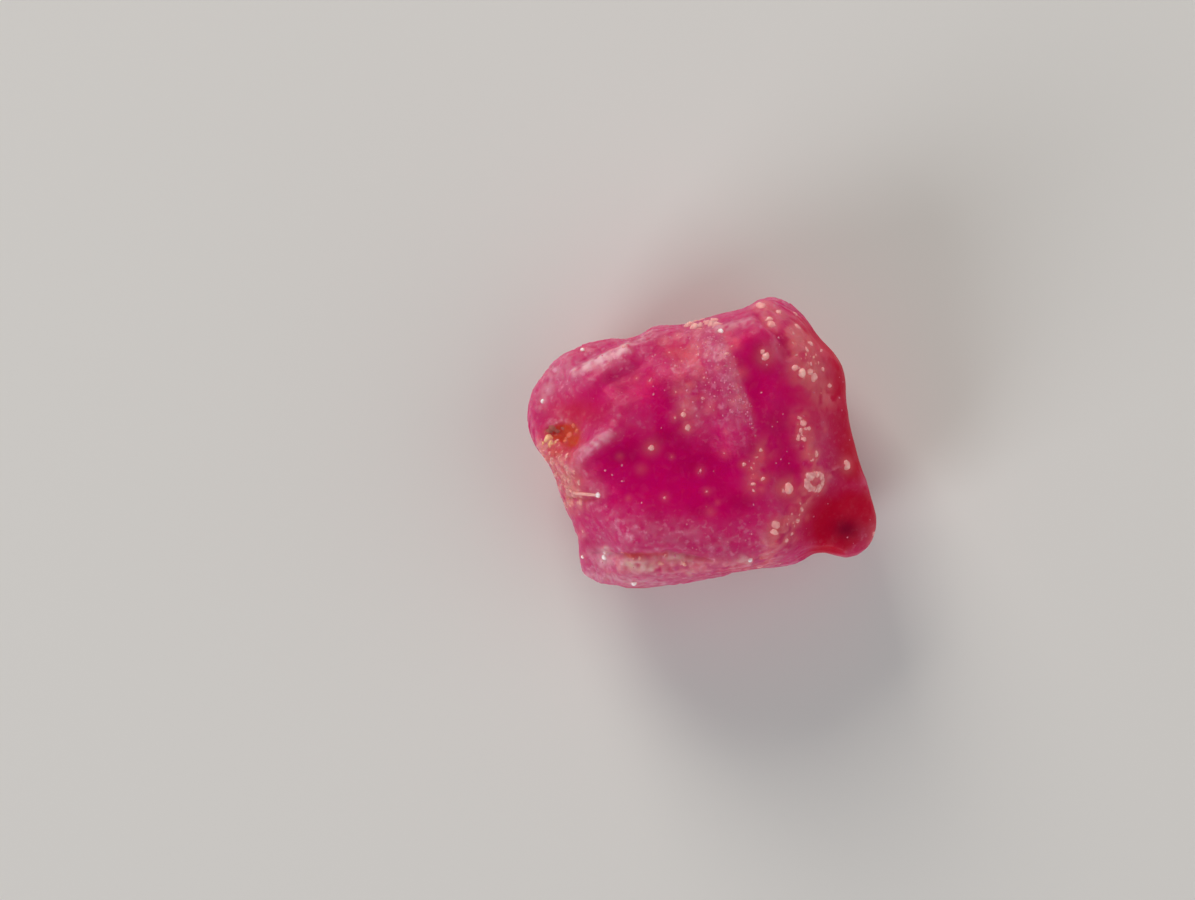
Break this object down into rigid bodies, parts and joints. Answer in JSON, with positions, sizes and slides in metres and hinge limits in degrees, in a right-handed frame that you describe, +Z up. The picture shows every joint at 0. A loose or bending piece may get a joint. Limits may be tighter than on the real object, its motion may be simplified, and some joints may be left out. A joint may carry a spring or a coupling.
{
  "type": "raw ruby crystal",
  "caption": "Small raw ruby, a worn and etched see-through red crystal lying on a flat parting face.",
  "frame": {"origin": "centre of the bounding box, on the flat parting face that the stone rests on", "axes": "+X along the stone's length, towards its low lobe; +Z up, out of its clear window"},
  "size_m": [0.0086, 0.0072, 0.0046],
  "materials": {
    "ruby": "satin"
  },
  "bodies": {
    "root": {"ruby_crystal": "ruby"}
  },
  "joints": []
}
